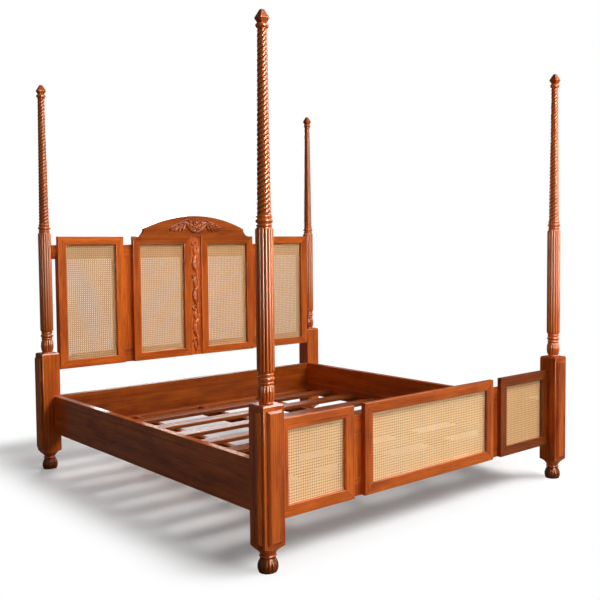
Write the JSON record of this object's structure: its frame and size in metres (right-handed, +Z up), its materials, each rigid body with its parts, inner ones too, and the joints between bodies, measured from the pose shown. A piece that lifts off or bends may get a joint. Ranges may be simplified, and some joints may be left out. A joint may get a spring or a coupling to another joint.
{
  "type": "four-poster bed",
  "caption": "Four-poster bed with reeded and rope-twist posts, an arched caned headboard, a caned footboard and an open slatted base.",
  "frame": {"origin": "on the floor, at the centre of the bed's outline seen from above", "axes": "+X to the right seen from the foot, +Y towards the head, +Z up"},
  "size_m": [2.048, 2.238, 2.183],
  "materials": {
    "mahogany": "red-brown stain under gloss varnish",
    "base_wood": "thin stain, satin",
    "cane": "woven cane under thin varnish",
    "steel": "zinc plated"
  },
  "bodies": {
    "root": {"bun_foot_fl": "mahogany", "bun_foot_fr": "mahogany", "bun_foot_rl": "mahogany", "bun_foot_rr": "mahogany", "leg_fl": "mahogany", "leg_fr": "mahogany", "leg_rl": "mahogany", "leg_rr": "mahogany", "column_fl": "mahogany", "column_fr": "mahogany", "column_rl": "mahogany", "column_rr": "mahogany", "shaft_fl": "mahogany", "shaft_fr": "mahogany", "shaft_rl": "mahogany", "shaft_rr": "mahogany", "finial_fl": "mahogany", "finial_fr": "mahogany", "finial_rl": "mahogany", "finial_rr": "mahogany", "head_top_rail": "mahogany", "head_bottom_rail": "mahogany", "head_stile_left": "mahogany", "head_stile_right": "mahogany", "head_mullion_left": "mahogany", "head_mullion_right": "mahogany", "head_muntin": "mahogany", "carved_strip": "mahogany", "head_frame_left": "mahogany", "head_frame_right": "mahogany", "half_frame_left": "mahogany", "half_frame_right": "mahogany", "crest_board": "mahogany", "head_cane_left": "cane", "head_cane_right": "cane", "head_cane_centre": "cane", "foot_top_rail": "mahogany", "foot_bottom_rail": "mahogany", "foot_mullion_left": "mahogany", "foot_mullion_right": "mahogany", "foot_frame_left": "mahogany", "foot_frame_centre": "mahogany", "foot_frame_right": "mahogany", "foot_cane_left": "cane", "foot_cane_centre": "cane", "foot_cane_right": "cane", "side_rail_left": "mahogany", "side_rail_right": "mahogany", "head_rail": "mahogany", "ledger_left": "base_wood", "ledger_right": "base_wood", "head_cleat": "base_wood", "foot_cleat": "base_wood", "bearer_left": "base_wood", "bearer_centre": "base_wood", "bearer_right": "base_wood", "centre_leg": "base_wood", "slats": "base_wood", "rail_hooks": "steel", "post_plates": "steel"}
  },
  "joints": []
}
